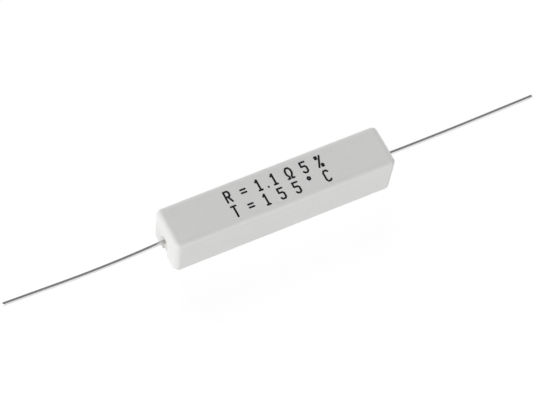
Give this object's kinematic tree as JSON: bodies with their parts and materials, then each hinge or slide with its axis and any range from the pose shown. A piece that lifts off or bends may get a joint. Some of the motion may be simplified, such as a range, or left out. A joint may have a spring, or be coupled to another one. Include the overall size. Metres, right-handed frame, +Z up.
{
  "type": "axial power resistor",
  "caption": "Oblong white ceramic-cased wire-wound resistor with rounded edges and a straight wire lead from the middle of each end.",
  "frame": {"origin": "middle of the underside, on the plane of the trough's open rim that the part lies on", "axes": "+X along the leads, from the left lead to the right one; +Y across the case, away from the long side that the picture shows; +Z up, out of the closed printed face"},
  "size_m": [0.116, 0.0094, 0.01],
  "materials": {
    "steatite": "matte unglazed white",
    "cement": "rough cast grey-white cement",
    "core_ceramic": "matte",
    "resistance_wire": "dull drawn copper-nickel wire",
    "cap_steel": "dull pressed sheet",
    "tinned_copper": "satin hot-tinned wire"
  },
  "bodies": {
    "root": {"ceramic_case": "steatite", "cement_fill": "cement", "ceramic_core": "core_ceramic", "resistance_winding": "resistance_wire", "left_end_cap": "cap_steel", "right_end_cap": "cap_steel", "left_lead": "tinned_copper", "right_lead": "tinned_copper"}
  },
  "joints": []
}
